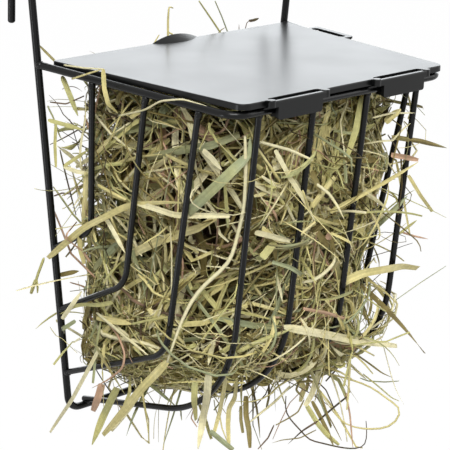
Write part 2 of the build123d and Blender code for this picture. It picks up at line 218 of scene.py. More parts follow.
LONG_STEMS = (
    ("cream", 2.2, (245, 136, -4), (246, 175, -3), (244, 210, -3), (231, 261, -2.5), (197, 292, 0),
        (183, 317, 3), (167, 362, 5)),
    ("straw", 2.0, (315, 222, 3), (303, 232, 2.5), (292, 243, -3)),
    ("cream", 2.0, (260, 142, -4), (290, 150, 0), (312, 160, 4)),
    ("yellow_green", 2.6, (237, 352, -3), (262, 340, 2), (292, 329, 4)),
    ("straw", 1.2, (72, 79, 7), (87, 74, 8), (103, 69, 8)),
    ("cream", 1.1, (64, 65, 8), (84, 68, 8), (103, 69, 8)),
    ("cream", 1.1, (118, 116, -3), (145, 110, 4), (160, 101, 6), (182, 99, 6), (207, 106, 5)),
    ("umber", 0.9, (54, 196, 3), (62, 193, 0), (70, 194, -4)),
    ("umber", 0.9, (50, 102, 3), (66, 104, -2), (84, 96, -5)),
    ("umber", 0.9, (60, 150, 1), (66, 176, -4), (76, 215, -8)),
    ("straw", 2.2, (98, 185, -4), (112, 193, -3), (126, 200, -4)),
    ("yellow_green", 2.0, (44, 258, 9), (38, 274, 11), (35, 284, 12)),
    ("yellow_green", 1.8, (132, 324, -3), (150, 320, -3), (170, 317, -4)),
    ("cream", 2.0, (97, 313, -4), (122, 334, 1), (148, 355, 4)),
    ("rust", 1.4, (106, 320, -3), (118, 335, -2), (125, 353, 3), (123, 368, 4), (108, 380, 5),
        (92, 388, 6)),
    ("cream", 1.2, (372, 118, -4), (392, 113, 2), (415, 113, 5)),
    ("yellow_green", 1.6, (399, 234, 1), (408, 227, 5), (417, 220, 9)),
    ("rust", 1.2, (401, 232, 2), (414, 236, 6), (428, 239, 9)),
    ("umber", 1.0, (388, 135, -3), (401, 155, 1), (402, 185, 3), (398, 215, 4)),
    ("grey_green", 0.5, (393, 302, 4), (420, 283, 12), (446, 266, 20)),
    ("rust", 0.8, (194, 408, 4), (191, 418, 5), (197, 427, 6)),
    ("straw", 1.0, (219, 412, 4), (222, 428, 6), (227, 441, 8)),
    ("cream", 1.4, (290, 386, 1), (276, 401, 3), (262, 412, 4), (250, 422, 5)),
    ("straw", 0.8, (274, 392, 1), (262, 399, 2), (250, 402, 3), (232, 401, 3)),
    ("olive", 0.7, (214, 400, 2), (215, 407, 4), (218, 416, 5)),
    ("umber", 0.9, (286, 396, 1), (285, 410, 3), (289, 418, 4), (301, 431, 6), (309, 440, 8), (338, 447, 9),
        (352, 449, 9), (365, 447, 9), (367, 434, 8), (366, 421, 7)),
    ("olive", 0.9, (304, 400, 1), (298, 412, 3), (289, 418, 4), (276, 425, 5)),
    ("umber", 0.9, (274, 425, 4), (268, 438, 6), (258, 449, 8)),
    ("umber", 1.2, (349, 395, 4), (333, 408, 5), (318, 421, 6), (302, 431, 7), (288, 444, 8)),
    ("olive", 0.7, (316, 430, 6), (300, 438, 7), (282, 440, 7), (272, 443, 8)),
    ("grey_green", 1.2, (317, 393, 3), (324, 410, 5), (331, 428, 7)),
    ("umber", 0.8, (318, 382, 2), (326, 390, 3), (334, 408, 5)),
    ("olive", 1.6, (312, 381, 1), (299, 382, 2), (296, 390, 2), (304, 399, 3)),
    ("straw", 1.3, (320, 371, 1), (345, 378, 3), (362, 383, 4), (378, 391, 6), (389, 401, 7), (401, 407, 8),
        (402, 412, 8), (397, 420, 8), (393, 426, 8), (380, 429, 7), (362, 429, 6), (346, 425, 5),
        (337, 417, 5), (329, 406, 4), (318, 390, 3)),
    ("olive", 1.3, (350, 350, 2), (370, 364, 4), (382, 373, 6), (391, 377, 7)),
    ("cream", 0.6, (378, 330, 4), (384, 348, 5), (391, 375, 7), (396, 390, 8), (404, 405, 9)),
    ("yellow_green", 0.9, (363, 374, 4), (378, 386, 6), (392, 398, 7), (399, 401, 8)),
    ("grey_green", 0.8, (360, 378, 4), (368, 381, 5), (385, 382, 6), (399, 381, 7)),
    ("rust", 1.1, (346, 393, 4), (350, 415, 6), (353, 449, 9)),
    ("olive", 0.9, (347, 360, 2), (348, 378, 3), (350, 393, 4)),
    ("umber", 1.2, (343, 360, 1), (335, 371, 2), (326, 381, 3)),
    ("cream", 1.6, (344, 358, 1), (355, 369, 3), (367, 380, 4)),
)


# Strands that stand up behind the lid: colour, width in mm, and the pixels that they pass
STANDING_BLADES = (
    ("umber", 2.0, (249, 21), (254, 20), (259, 18)),
    ("straw", 1.7, (62, 68), (48, 54), (36, 42)),
)
STANDING_STEMS = (
    ("straw", 1.4, (167, 60), (168, 38), (168, 20), (169, 6), (173, 8)),
    ("straw", 1.1, (168, 32), (172, 34), (175, 38)),
    ("yellow_green", 1.3, (236, 56), (222, 35), (212, 20), (199, 1)),
    ("grey_green", 0.8, (236, 56), (228, 33), (222, 17), (215, 1)),
    ("olive", 0.8, (212, 42), (221, 30), (226, 27)),
    ("umber", 0.8, (239, 50), (239, 31), (239, 24)),
    ("umber", 0.7, (243, 50), (245, 30), (247, 22), (250, 21)),
)


def linear(hex_colour):
    """An sRGB hex colour as linear RGB: the low end is divided by 12.92, the rest is a power of 2.4."""
    parts = [int(hex_colour[i : i + 2], 16) / 255 for i in (1, 3, 5)]
    return tuple(c / 12.92 if c <= 0.04045 else ((c + 0.055) / 1.055) ** 2.4 for c in parts)


def camera_axes():
    """Right, up and back directions of the camera and its place, from azimuth, elevation and roll."""
    level = np.array([cos(VIEW_AZIMUTH), sin(VIEW_AZIMUTH), 0.0])
    out = np.array([sin(VIEW_AZIMUTH), -cos(VIEW_AZIMUTH), 0.0])
    back = cos(VIEW_ELEVATION) * out + [0.0, 0.0, sin(VIEW_ELEVATION)]
    upright = np.cross(level, -back)
    right = cos(VIEW_ROLL) * level + sin(VIEW_ROLL) * upright
    up = -sin(VIEW_ROLL) * level + cos(VIEW_ROLL) * upright
    return right, up, back, VIEW_TARGET + VIEW_DISTANCE * back


# ---- the rack's inside


def smooth_step(x):
    """0 below 0, 1 above 1, and 3x^2 - 2x^3 between."""
    x = np.clip(x, 0, 1)
    return x * x * (3 - 2 * x)


def round_both(a, b, radius):
    """Distance to where two shapes overlap, with the edge between them rounded to that radius."""
    corner = np.hypot(np.maximum(a + radius, 0), np.maximum(b + radius, 0))
    return np.minimum(np.maximum(a, b), -radius) + corner


def line_normal(start, end, inside):
    """The unit normal of a line in the YZ plane that points away from a point inside."""
    way = (end - start) / np.linalg.norm(end - start)
    normal = np.array([way[1], -way[0]])
    return normal if normal @ (inside - start) < 0 else -normal


HEART = np.array([-70.0, -130.0])  # Y and Z of a point well inside the basket
FRONT_NORMAL = line_normal(FRONT_BEND, FRONT_TOP, HEART)
BOTTOM_NORMAL = line_normal(FRONT_BEND, FRONT_END, HEART)
NORMALS = np.array([FRONT_NORMAL, BOTTOM_NORMAL])
BEND_CENTRE = FRONT_BEND + np.linalg.solve(NORMALS, [-FRONT_BEND_RADIUS] * 2)


def profile_distance(y, z):
    """Distance from the front wires' line in the YZ plane, positive outside.

    It is the greater distance to the two straight runs, or the distance to the arc between them in the
    wedge that the runs' normals span at its centre.
    """
    point = np.stack([y, z], -1)
    straight = ((point - FRONT_BEND) @ NORMALS.T).max(-1)
    from_centre = point - BEND_CENTRE
    shares = from_centre @ np.linalg.inv(NORMALS)
    arc = np.linalg.norm(from_centre, axis=-1) - FRONT_BEND_RADIUS
    return np.where((shares > 0).all(-1), arc, straight)


def half_width(y, z):
    """Distance from the middle to the side wires: the rim's taper, less a lean that fades to the front."""
    rim = RIM_BACK_X + (RIM_FRONT_X - RIM_BACK_X) * (y - LEG_Y) / (HINGE_YZ[0] - LEG_Y)
    lean = 0.02 + (LEG_LEAN - 0.02) * np.exp(np.minimum(y - LEG_Y, 0) / 55)
    return rim - lean * (HINGE_YZ[1] - z)


def basket_distance(p):
    """Distance from the surface in which the basket's wires lie, positive outside."""
    x, y, z = np.moveaxis(p, -1, 0)
    return round_both(profile_distance(y, z), np.abs(x) - half_width(y, z), CORNER_RADIUS)


@cache
def hollow_places():
    """The hollows' middles in the rack's frame, 4 mm inside the wires, with their radii and depths."""
    middles = sight_points([hollow[:2] for hollow in HOLLOWS], np.full(len(HOLLOWS), -4.0))
    return [(middle, *hollow[2:]) for middle, hollow in zip(middles, HOLLOWS)]


def hay_distance(p):
    """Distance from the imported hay's surface, positive outside.

    The basket's inside, less the wires' room, with rounder upright edges where the photograph shows the
    rack emptier, raised above the bottom wires, dented by slow waves and by the hollows, each a depth
    times exp(-distance^2 / (2 radius^2)), and kept off the lid and its clips.
    """
    x, y, z = np.moveaxis(p, -1, 0)
    low = smooth_step((LOW_Z - z) / 60)
    lift = 12.0 * low * smooth_step((50 - x) / 80)
    dents = 3.6 * (1 + np.sin(x / 13 + 1.0) * np.sin(z / 17 + y / 29)) + 1.8 * np.sin(y / 8 + z / 6)
    for middle, radius, depth in hollow_places():
        dents = dents + depth * np.exp(-((p - middle) ** 2).sum(-1) / (2 * radius**2))
    # Between the front wires it swells, the more the lower
    between = np.sin(np.pi * (x - FRONT_WIRE_X[0]) / FRONT_WIRE_GAP) ** 2
    gap = np.where(np.abs(x) < FRONT_WIRE_X[3], between, 0)
    bulge = gap * (3.0 + 11.0 * low) * smooth_step((-60 - z) / 50)
    room = WIRE_RADIUS + 0.8
    front = profile_distance(y, z - lift) + room + dents - bulge
    side = np.abs(x) - half_width(y, z) + room + dents
    front_radius = np.where(x > 0, 42.0, 20.0)
    back_radius = np.where(x > 0, 34.0, 16.0 + 20.0 * smooth_step((z - LOW_Z) / 60))
    body = round_both(front, side, front_radius)
    body = round_both(body, y - HAY_BACK_Y, back_radius)
    body = np.maximum(body, z - LID_UNDERSIDE_Z + 1.2)
    clips = HINGE_ROOM - np.hypot(y - HINGE_YZ[0], z - HINGE_YZ[1])
    return np.maximum(body, np.where(np.abs(x) < CLIP_END_X, clips, -HINGE_ROOM))


def slope(distance, p, step=0.4):
    """The direction in which a distance grows, from its differences over a small step."""
    here = distance(p)
    change = [distance(p + step * axis) - here for axis in np.eye(3)]
    return unit(np.stack(change, -1))


def unit(v):
    """Vectors brought to length 1."""
    return v / np.maximum(np.linalg.norm(v, axis=-1, keepdims=True), 1e-9)


def arc_line(points, radius, count):
    """A line through three points whose corner is an arc: two runs tangent to it, sampled evenly."""
    a, b, c = (np.asarray(p, float) for p in points)
    u, v = unit(a - b), unit(c - b)
    half = np.arccos(np.clip(u @ v, -1, 1)) / 2
    centre = b + unit(u + v) * radius / np.sin(half)
    start, end = b + u * radius / np.tan(half), b + v * radius / np.tan(half)
    turn = np.linspace(0, 1, count)[:, None]
    spread = np.pi - 2 * half
    arc = np.sin((1 - turn) * spread) * (start - centre) + np.sin(turn * spread) * (end - centre)
    return np.vstack([a + (start - a) * turn, centre + arc / np.sin(spread), end + (c - end) * turn])


def leg_x(z):
    """Distance from the middle to a leg at height z."""
    return LEG_TOP_X + (z - LEG_TOP_Z) * LEG_LEAN


def side_x(top):
    """Distance from the middle to a side wire's top end."""
    return float(half_width(*np.array(top)))


def wire_points():
    """Points close together along every wire of the basket, for keeping loose strands off them."""
    lines, steps = [], np.linspace(0, 1, 120)[:, None]
    for x in FRONT_WIRE_X:
        ends = [(x, *FRONT_TOP), (x, *FRONT_BEND), (x, *FRONT_END)]
        lines.append(arc_line(ends, FRONT_BEND_RADIUS, 60))
    for top, bend, end, radius in SIDE_WIRES:
        top_x, end_x = side_x(top), leg_x(end[1])
        bend_x = top_x + (end_x - top_x) * ((bend[1] - top[1]) / (end[1] - top[1]))
        for side in (-1, 1):
            ends = [(side * top_x, *top), (side * bend_x, *bend), (side * end_x, *end)]
            lines.append(arc_line(ends, radius, 50))
    runs = []
    for side in (-1, 1):
        leg_top, leg_end = leg_x(LEG_END_Z), leg_x(RAIL_Z)
        runs.append(((side * leg_top, LEG_Y, LEG_END_Z), (side * leg_end, LEG_Y, RAIL_Z)))
        runs.append(((side * RIM_BACK_X, LEG_Y, RIM_BACK_Z), (side * RIM_FRONT_X, *HINGE_YZ)))
    for x, y, z in ((leg_x(RAIL_Z), LEG_Y, RAIL_Z), (RIM_FRONT_X, *HINGE_YZ)):
        runs.append(((-x, y, z), (x, y, z)))
    lines += [start + np.subtract(end, start) * steps for start, end in runs]
    return np.vstack(lines)


# ---- swept shapes


def sweep(paths, facing, half_sizes, section):
    """Vertices of many tubes at once: a section carried along each path.

    paths is (tubes, rings, 3), facing the direction that the section's second axis leans to, half_sizes
    (tubes, rings, 2) the section's half width and half thickness, and section (tubes, corners, 2) its
    outline. A vertex is its path point plus the section's two numbers times those sizes along the width,
    which is square to the path and to facing, and along the depth, which is square to both.
    """
    ahead = unit(np.gradient(paths, axis=1))
    width = unit(np.cross(facing, ahead))
    depth = np.cross(ahead, width)
    across = section[:, None, :, :] * half_sizes[:, :, None, :]
    centre, width, depth = (part[:, :, None, :] for part in (paths, width, depth))
    return centre + across[..., :1] * width + across[..., 1:] * depth


def tube_quads(tubes, rings, corners):
    """Corner numbers of every quad: the bands between neighbouring rings, and fans that close the ends."""
    ring, corner = np.meshgrid(np.arange(rings - 1), np.arange(corners), indexing="ij")
    here, there, nearby = ring * corners, (ring + 1) * corners, (corner + 1) % corners
    band = np.stack([here + corner, here + nearby, there + nearby, there + corner], -1).reshape(-1, 4)
    first = np.arange(1, corners - 1, 2)
    start = np.stack([first * 0, first + 2, first + 1, first], -1) % corners
    end = start[:, ::-1] + (rings - 1) * corners
    one = np.vstack([band, start, end])
    return (one[None] + (np.arange(tubes) * rings * corners)[:, None, None]).reshape(-1, 4)


def mesh_piece(name, vertices, quads, material, smooth=True, **values):
    """A new object from whole arrays: vertices in millimetres, quads, and named values for each vertex."""
    mesh = bpy.data.meshes.new(name)
    mesh.vertices.add(len(vertices))
    mesh.vertices.foreach_set("co", (vertices * MM).astype(np.float32).ravel())
    mesh.loops.add(quads.size)
    mesh.loops.foreach_set("vertex_index", quads.astype(np.int32).ravel())
    mesh.polygons.add(len(quads))
    mesh.polygons.foreach_set("loop_start", np.arange(0, quads.size, 4, dtype=np.int32))
    mesh.polygons.foreach_set("use_smooth", np.full(len(quads), smooth))
    for key, value in values.items():
        attribute = mesh.attributes.new(key, "FLOAT", "POINT")
        attribute.data.foreach_set("value", value.astype(np.float32).ravel())
    mesh.update(calc_edges=True)
    mesh.materials.append(material)
    piece = bpy.data.objects.new(name, mesh)
    bpy.context.scene.collection.objects.link(piece)
    return piece


def corners_round(count):
    """A regular outline: cosine and sine at even turns, which face outwards as a tube needs."""
    turn = np.arange(count) * 2 * np.pi / count
    return np.stack([np.cos(turn), np.sin(turn)], -1)


# ---- materials


def add_node(tree, kind, inputs=None, **settings):
    """Adds a shader node. An input that is a socket, or a node for its first output, is linked."""
    node = tree.nodes.new("ShaderNode" + kind)
    for key, value in settings.items():
        setattr(node, key, value)
    for key, value in (inputs or {}).items():
        if isinstance(value, bpy.types.Node):
            value = next(socket for socket in value.outputs if socket.enabled)
        if isinstance(value, bpy.types.NodeSocket):
            tree.links.new(value, node.inputs[key])
        else:
            node.inputs[key].default_value = value
    return node


def new_material(name):
    """An empty material and its node tree."""
    material = bpy.data.materials.new(name)
    material.use_nodes = True
    material.node_tree.nodes.clear()
    return material, material.node_tree


NOISE_REACH = {"From Min": 0.3, "From Max": 0.7}  # what noise mostly lies between


def black_skin(name, colours, fine, broad, roughness, strength, distance, specular):
    """A black skin: colour and roughness drift with broad noise, and fine noise gives it relief."""
    material, tree = new_material(name)
    place = add_node(tree, "TexCoord").outputs["Object"]
    fine = add_node(tree, "TexNoise", {"Vector": place, **fine})
    broad = add_node(tree, "TexNoise", {"Vector": place, **broad})
    first, second = ((*colour, 1) for colour in colours)
    tone = add_node(tree, "Mix", {"Factor": broad, "A": first, "B": second}, data_type="RGBA")
    reach = {**NOISE_REACH, "To Min": roughness[0], "To Max": roughness[1]}
    skin = {
        "Base Color": tone,
        "Roughness": add_node(tree, "MapRange", {"Value": broad, **reach}),
        "Normal": add_node(tree, "Bump", {"Height": fine, "Strength": strength, "Distance": distance}),
        "IOR": 1.5,
        "Specular IOR Level": specular,
    }
    add_node(tree, "OutputMaterial", {"Surface": add_node(tree, "BsdfPrincipled", skin)})
    return material


def powder_coat(settings):
    """Black polyester powder coat on steel wire, sprayed and baked.

    It melts to a satin skin with a faint orange peel about 1.5 mm across, thinner and duller in places.
    """
    colours = settings.coat_colour, settings.coat_worn_colour
    peel = {"Scale": 1 / settings.peel_size, "Detail": 2.0, "Roughness": 0.55}
    cloud = {"Scale": 1 / 0.011, "Detail": 3.0, "Roughness": 0.6}
    name = "powder_coated_steel_wire"
    return black_skin(name, colours, peel, cloud, (0.18, 0.28), 0.35, 0.00012, 0.22)


def moulded_lid(settings):
    """Black polypropylene, injection moulded in a polished mould.

    It is nearly mirror smooth at a low angle, with a very fine grain and faint flow waves some 20 mm
    long, and dark grey where it faces the light.
    """
    colours = settings.plastic_colour, settings.plastic_pale_colour
    grain = {"Scale": 1 / 0.0009, "Detail": 2.0, "Roughness": 0.5}
    flow = {"Scale": 1 / 0.03, "Detail": 2.0, "Roughness": 0.4}
    return black_skin("moulded_polypropylene", colours, grain, flow, (0.29, 0.32), 0.08, 0.00004, 0.28)


def dried_grass(name, stops, vein_size, roughness):
    """Meadow grass dried in the sun: each strand has its own tint, from a ramp of hay colours.

    The tint drifts along the strand, fine veins run lengthwise, and spots of mould and dust a few
    millimetres across dull it. The surface is waxy, so it has a soft shine.
    """
    material, tree = new_material(name)
    place = add_node(tree, "TexCoord").outputs["Object"]
    values = ("tint", "around", "along")
    tint, around, along = (
        add_node(tree, "Attribute", attribute_name=value).outputs["Fac"] for value in values
    )
    strip = add_node(tree, "CombineXYZ", {"X": around, "Y": along, "Z": tint})
    # 90 sets each tint's veins apart from the next one's
    stretch = {0: strip, 1: (1 / vein_size, 1.6, 90.0)}
    long = add_node(tree, "VectorMath", stretch, operation="MULTIPLY")
    drift, veins, spots = (
        add_node(tree, "TexNoise", {"Vector": at, "Scale": scale, "Detail": detail, "Roughness": rough})
        for at, scale, detail, rough in (
            (place, 1 / 0.022, 2.0, 0.5), (long, 1.0, 2.0, 0.6), (place, 1 / 0.0032, 3.0, 0.65),
        )
    )
    shift, shade, dust = (
        add_node(
            tree, "MapRange",
            {"Value": noise, "From Min": low, "From Max": high, "To Min": least, "To Max": most},
        )
        for noise, low, high, least, most in (
            (drift, 0.25, 0.75, -0.07, 0.07), (veins, 0.3, 0.7, 0.80, 1.08), (spots, 0.35, 0.7, 1.06, 0.82),
        )
    )
    shifted = add_node(tree, "Math", {0: tint, 1: shift}, operation="ADD")
    ramp = add_node(tree, "ValToRGB", {"Fac": shifted})
    elements = ramp.color_ramp.elements
    while len(elements) < len(stops):
        elements.new(0.5)
    for element, (share, colour) in zip(elements, stops):
        element.position = share
        element.color = (*colour, 1.0)
    both = add_node(tree, "Math", {0: shade, 1: dust}, operation="MULTIPLY")
    skin = {
        "Base Color": add_node(tree, "VectorMath", {0: ramp, "Scale": both}, operation="SCALE"),
        "Normal": add_node(tree, "Bump", {"Height": veins, "Strength": 0.4, "Distance": 0.0002}),
        "Roughness": roughness,
        "IOR": 1.45,
        "Specular IOR Level": 0.25,
    }
    add_node(tree, "OutputMaterial", {"Surface": add_node(tree, "BsdfPrincipled", skin)})
    return material


# ---- hay


def strand_paths(rng, centres, ways, lengths, bend, kink, rings):
    """Centre-lines of loosely bent strands, (strands, rings, 3).

    The direction at a share t of the length is the strand's own way turned by two angles, one in each
    plane: a steady bend, a slow wave and, past a random place, a kink. The points are the running sum of
    those directions, moved so that their mean is the strand's centre.
    """
    count = len(centres)
    t = (np.arange(rings - 1) + 0.5) / (rings - 1)
    side = unit(np.cross(ways, unit(rng.normal(size=(count, 3)))))
    top = np.cross(ways, side)
    turns = []
    for amount in (1.0, 0.6):
        steady = rng.normal(0, bend * amount, (count, 1)) * (t - 0.5)
        wave = rng.normal(0, bend * amount * 0.35, (count, 1)) * np.sin(
            2 * np.pi * (t * rng.uniform(0.6, 1.3, (count, 1)) + rng.uniform(0, 1, (count, 1)))
        )
        sharp = rng.normal(0, kink, (count, 1)) * (rng.uniform(size=(count, 1)) < 0.45)
        turns.append(steady + wave + sharp * (t > rng.uniform(0.15, 0.85, (count, 1))))
    first, second = turns[0][..., None], turns[1][..., None]
    ahead = (
        ways[:, None] * np.cos(first) * np.cos(second)
        + side[:, None] * np.sin(first) * np.cos(second)
        + top[:, None] * np.sin(second)
    )
    steps = ahead * (lengths[:, None, None] / (rings - 1))
    points = np.concatenate([np.zeros((count, 1, 3)), np.cumsum(steps, axis=1)], axis=1)
    return points + (centres - points.mean(axis=1))[:, None]


def press_in(paths, depth, rounds=5):
    """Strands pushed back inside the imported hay's surface, each to its own depth, and eased along."""
    for _ in range(rounds):
        over = np.maximum(hay_distance(paths) + depth[:, None], 0)
        paths = paths - slope(hay_distance, paths) * over[..., None]
        ease = np.minimum(over[:, 1:-1] / 4, 0.5)[..., None]
        between = (paths[:, :-2] + paths[:, 2:]) / 2
        paths[:, 1:-1] = paths[:, 1:-1] + ease * (between - paths[:, 1:-1])
    over = hay_distance(paths) + depth[:, None]
    return paths - slope(hay_distance, paths) * np.maximum(over, 0)[..., None]


def press_straight(paths, depth, lengths, count):
    """Presses strands in and keeps the ones that it bends least.

    A strand's bend is how far its points move apart from their mean move, as a share of its length. All
    below 2% count as equal and keep their random order.
    """
    pressed = press_in(paths, depth)
    move = pressed - paths
    apart = np.linalg.norm(move - move.mean(axis=1, keepdims=True), axis=-1).max(1) / lengths
    return pressed[np.argsort(np.maximum(apart, 0.02), kind="stable")[:count]]


def draw(rng, rule, count):
    """Random sizes: of one number that number, of two an even spread between them, and of four a
    lognormal one about the first, with the second as its spread, cut to between the other two.
    """
    if len(rule) == 1:
        return np.full(count, rule[0])
    if len(rule) == 2:
        return rng.uniform(*rule, count)
    middle, spread, least, most = rule
    return np.clip(rng.lognormal(np.log(middle), spread, count), least, most)


def draw_tints(rng, count, shares):
    """Random places on the hay's colour ramp: a named colour by its share, and a little either way."""
    names = list(shares)
    weights = np.array([shares[name] for name in names])
    chosen = rng.choice(len(names), count, p=weights / weights.sum())
    middle = np.array([TINTS[name] for name in names])[chosen]
    return np.clip(middle + rng.normal(0, 0.03, count), 0, 1)


def strand_tubes(rng, paths, facing, widths, thickness, section, tips, tint):
    """Vertices and values of strands: a section that keeps its width and narrows to each end.

    The width at a share t is the full width times 1 - (1 - a) (1 - t/0.12)^2 near the start and
    1 - (1 - b) ((t - 0.55)/0.45)^2 past the middle, where a and b are how blunt the two ends are.
    """
    count, rings, _ = paths.shape
    t = np.linspace(0, 1, rings)
    blunt_start = rng.uniform(0.45, 0.9, (count, 1))
    blunt_end = np.where(rng.uniform(size=(count, 1)) < tips, 0.12, rng.uniform(0.5, 0.9, (count, 1)))
    shape = 1 - (1 - blunt_start) * np.clip(1 - t / 0.12, 0, 1) ** 2
    shape = shape * (1 - (1 - blunt_end) * np.clip((t - 0.55) / 0.45, 0, 1) ** 2)
    half = np.stack([widths[:, None] * shape / 2, thickness[:, None] * (0.4 + 0.6 * shape) / 2], -1)
    corners = section.shape[1]
    around = np.abs(np.arange(corners) / corners - 0.5)
    values = {"tint": tint[:, None, None], "along": t[:, None], "around": around}
    values = {key: np.broadcast_to(value, (count, rings, corners)) for key, value in values.items()}
    return sweep(paths, facing, half, section).reshape(-1, 3), values


def leaf_section(rng, count):
    """A folded blade: its two edges, and its midrib above and below, closed. The fold is random."""
    fold = rng.normal(0, 2.6, count)
    one, none = np.ones(count), np.zeros(count)
    return np.stack([np.stack([one, none, -one, none], -1), np.stack([fold, one, fold, -one], -1)], -1)


def facing_out(rng, paths, outward):
    """The direction a strand's flat side leans to: partly out of the hay, partly random, with a twist."""
    count, rings, _ = paths.shape
    middle = paths[:, rings // 2]
    base = outward * slope(hay_distance, middle) + rng.normal(size=(count, 3)) * 0.75
    drift = rng.normal(size=(count, 3)) * 0.8
    t = np.linspace(-0.5, 0.5, rings)[None, :, None]
    return base[:, None] + drift[:, None] * t


def hay_materials(hay):
    """The two hay materials, made once: soft blades, and harder, shinier stems with coarser veins."""
    made = bpy.data.materials.get("dried_grass_blades"), bpy.data.materials.get("dried_grass_stems")
    if all(made):
        return made
    stops = [(place, getattr(hay, name)) for name, place in TINTS.items()]
    blades = dried_grass("dried_grass_blades", stops, 0.11, 0.5)
    return blades, dried_grass("dried_grass_stems", stops, 0.16, 0.42)


def weld_places():
    """Where wires are welded: middle, direction, and length and radius as shares of the usual bead."""
    beads = []
    front, bottom = (0, *(FRONT_BEND - FRONT_TOP)), (0, *(FRONT_END - FRONT_BEND))
    for x in FRONT_WIRE_X:
        beads.append(((x, FRONT_TOP[0] - 0.3, FRONT_TOP[1] - 1.2), front, (1.1, 1.25)))
        beads.append(((x, LEG_Y - 0.5, RAIL_Z + 1.7), bottom, (1.0, 1.0)))
    for top, bend, end, _ in SIDE_WIRES:
        down, back = (0, *np.subtract(bend, top)), (0, *np.subtract(end, bend))
        for side in (-1, 1):
            beads.append(((side * side_x(top), top[0], top[1] - 1.6), down, (1.1, 1.25)))
            beads.append(((side * leg_x(end[1]), end[0] - 0.2, end[1]), back, (1.0, 1.4)))
    for side in (-1, 1):
        rim = (side * (RIM_FRONT_X - RIM_BACK_X), HINGE_YZ[0] - LEG_Y, HINGE_YZ[1] - RIM_BACK_Z)
        beads.append(((side * RIM_BACK_X, LEG_Y - 1.9, RIM_BACK_Z), rim, (1.0, 1.6)))
    places, ways, sizes = (np.array(part, float) for part in zip(*beads))
    return places, unit(ways), sizes


def thin_share(p):
    """1 in the upper left back of the rack, where the hay lets light through, 0 well away from it."""
    x, _, z = np.moveaxis(p, -1, 0)
    return smooth_step((-14 - x) / 50) * smooth_step((z + 200) / 45)


def hay_centres(rng, count, deepest, power=1.6, thinned=0.7):
    """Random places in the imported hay, the more the nearer its surface, by keeping random points."""
    points = rng.uniform(*PACKED_BOX, (count * 30, 3))
    depth = -hay_distance(points)
    keep = (depth > 0) & (depth < deepest)
    share = (np.clip(1 - depth / deepest, 0, 1) ** power + 0.06) * (1 - thinned * thin_share(points))
    keep &= rng.uniform(size=len(points)) < share
    points = points[keep]
    if len(points) < count:
        raise RuntimeError(f"only {len(points)} of {count} places found in the hay")
    return points[:count]


def spread_ways(rng, count, level):
    """Random directions, flattened towards level by that share."""
    return unit(rng.normal(size=(count, 3)) * [1.0, 1.0, level])


def sight_ways(pixels):
    """Unit vectors from the camera through given pixels."""
    right, up, back, _ = camera_axes()
    offset = (np.asarray(pixels, float) - IMAGE_CENTRE) / FOCAL_PIXELS
    return unit(-back + offset[:, :1] * right - offset[:, 1:] * up)


def sight_points(pixels, proud):
    """Points in the rack's frame seen at given pixels, at a given distance outside the basket's wires.

    Along each pixel's line of sight it is the first point that comes that near to the basket, or the
    nearest one where the line passes it by.
    """
    reach = np.arange(820.0, 1330.0, 0.5)  # distances from the camera that take in the rack
    line = camera_axes()[3] + sight_ways(pixels)[:, None] * reach[None, :, None]
    distance = basket_distance(line) - np.asarray(proud)[:, None]
    hit = distance < 0
    first = np.where(hit.any(1), hit.argmax(1), distance.argmin(1))
    return line[np.arange(len(line)), first]


def ease_along(values, rounds):
    """Values along a line, each but the ends brought to half itself and a quarter of each neighbour."""
    for _ in range(rounds):
        values = np.concatenate(
            [values[:1], 0.5 * values[1:-1] + 0.25 * (values[:-2] + values[2:]), values[-1:]]
        )
    return values


def run_through(pixels, values, rings):
    """Values given at the points of a line in the picture, at points evenly spaced along that line."""
    steps = np.linalg.norm(np.diff(pixels, axis=0), axis=1)
    place = np.concatenate([[0], np.cumsum(steps)])
    even = np.linspace(0, place[-1], rings)
    return np.stack([np.interp(even, place, column) for column in values.T], 1)


def seen_line(points, rings):
    """A strand's line through points given as pixel x, pixel y and distance outside the wires.

    It runs straight in the picture between the points, with its corners a little rounded, while its
    distance from the camera is eased far more, so that it doesn't jump where the basket's surface turns.
    """
    pixels, proud = np.split(np.array(points, float), [2], axis=1)
    eye = camera_axes()[3]
    reach = np.linalg.norm(sight_points(pixels, proud[:, 0]) - eye, axis=1)[:, None]
    seen = ease_along(run_through(pixels, pixels, rings), 1)
    return eye + sight_ways(seen) * ease_along(run_through(pixels, reach, rings), 12)


def standing_line(pixels, rings):
    """A strand's line through given pixels in the upright plane behind the lid, its corners eased."""
    pixels = np.array(pixels, float)
    eye = camera_axes()[3]
    ways = sight_ways(ease_along(run_through(pixels, pixels, rings), 1))
    return eye + ways * ((STANDING_Y - eye[1]) / ways[:, 1:2])


def within_reach(paths):
    """Keeps points within what the rack's hay may reach."""
    return np.clip(paths, HAY_LOW, HAY_HIGH)


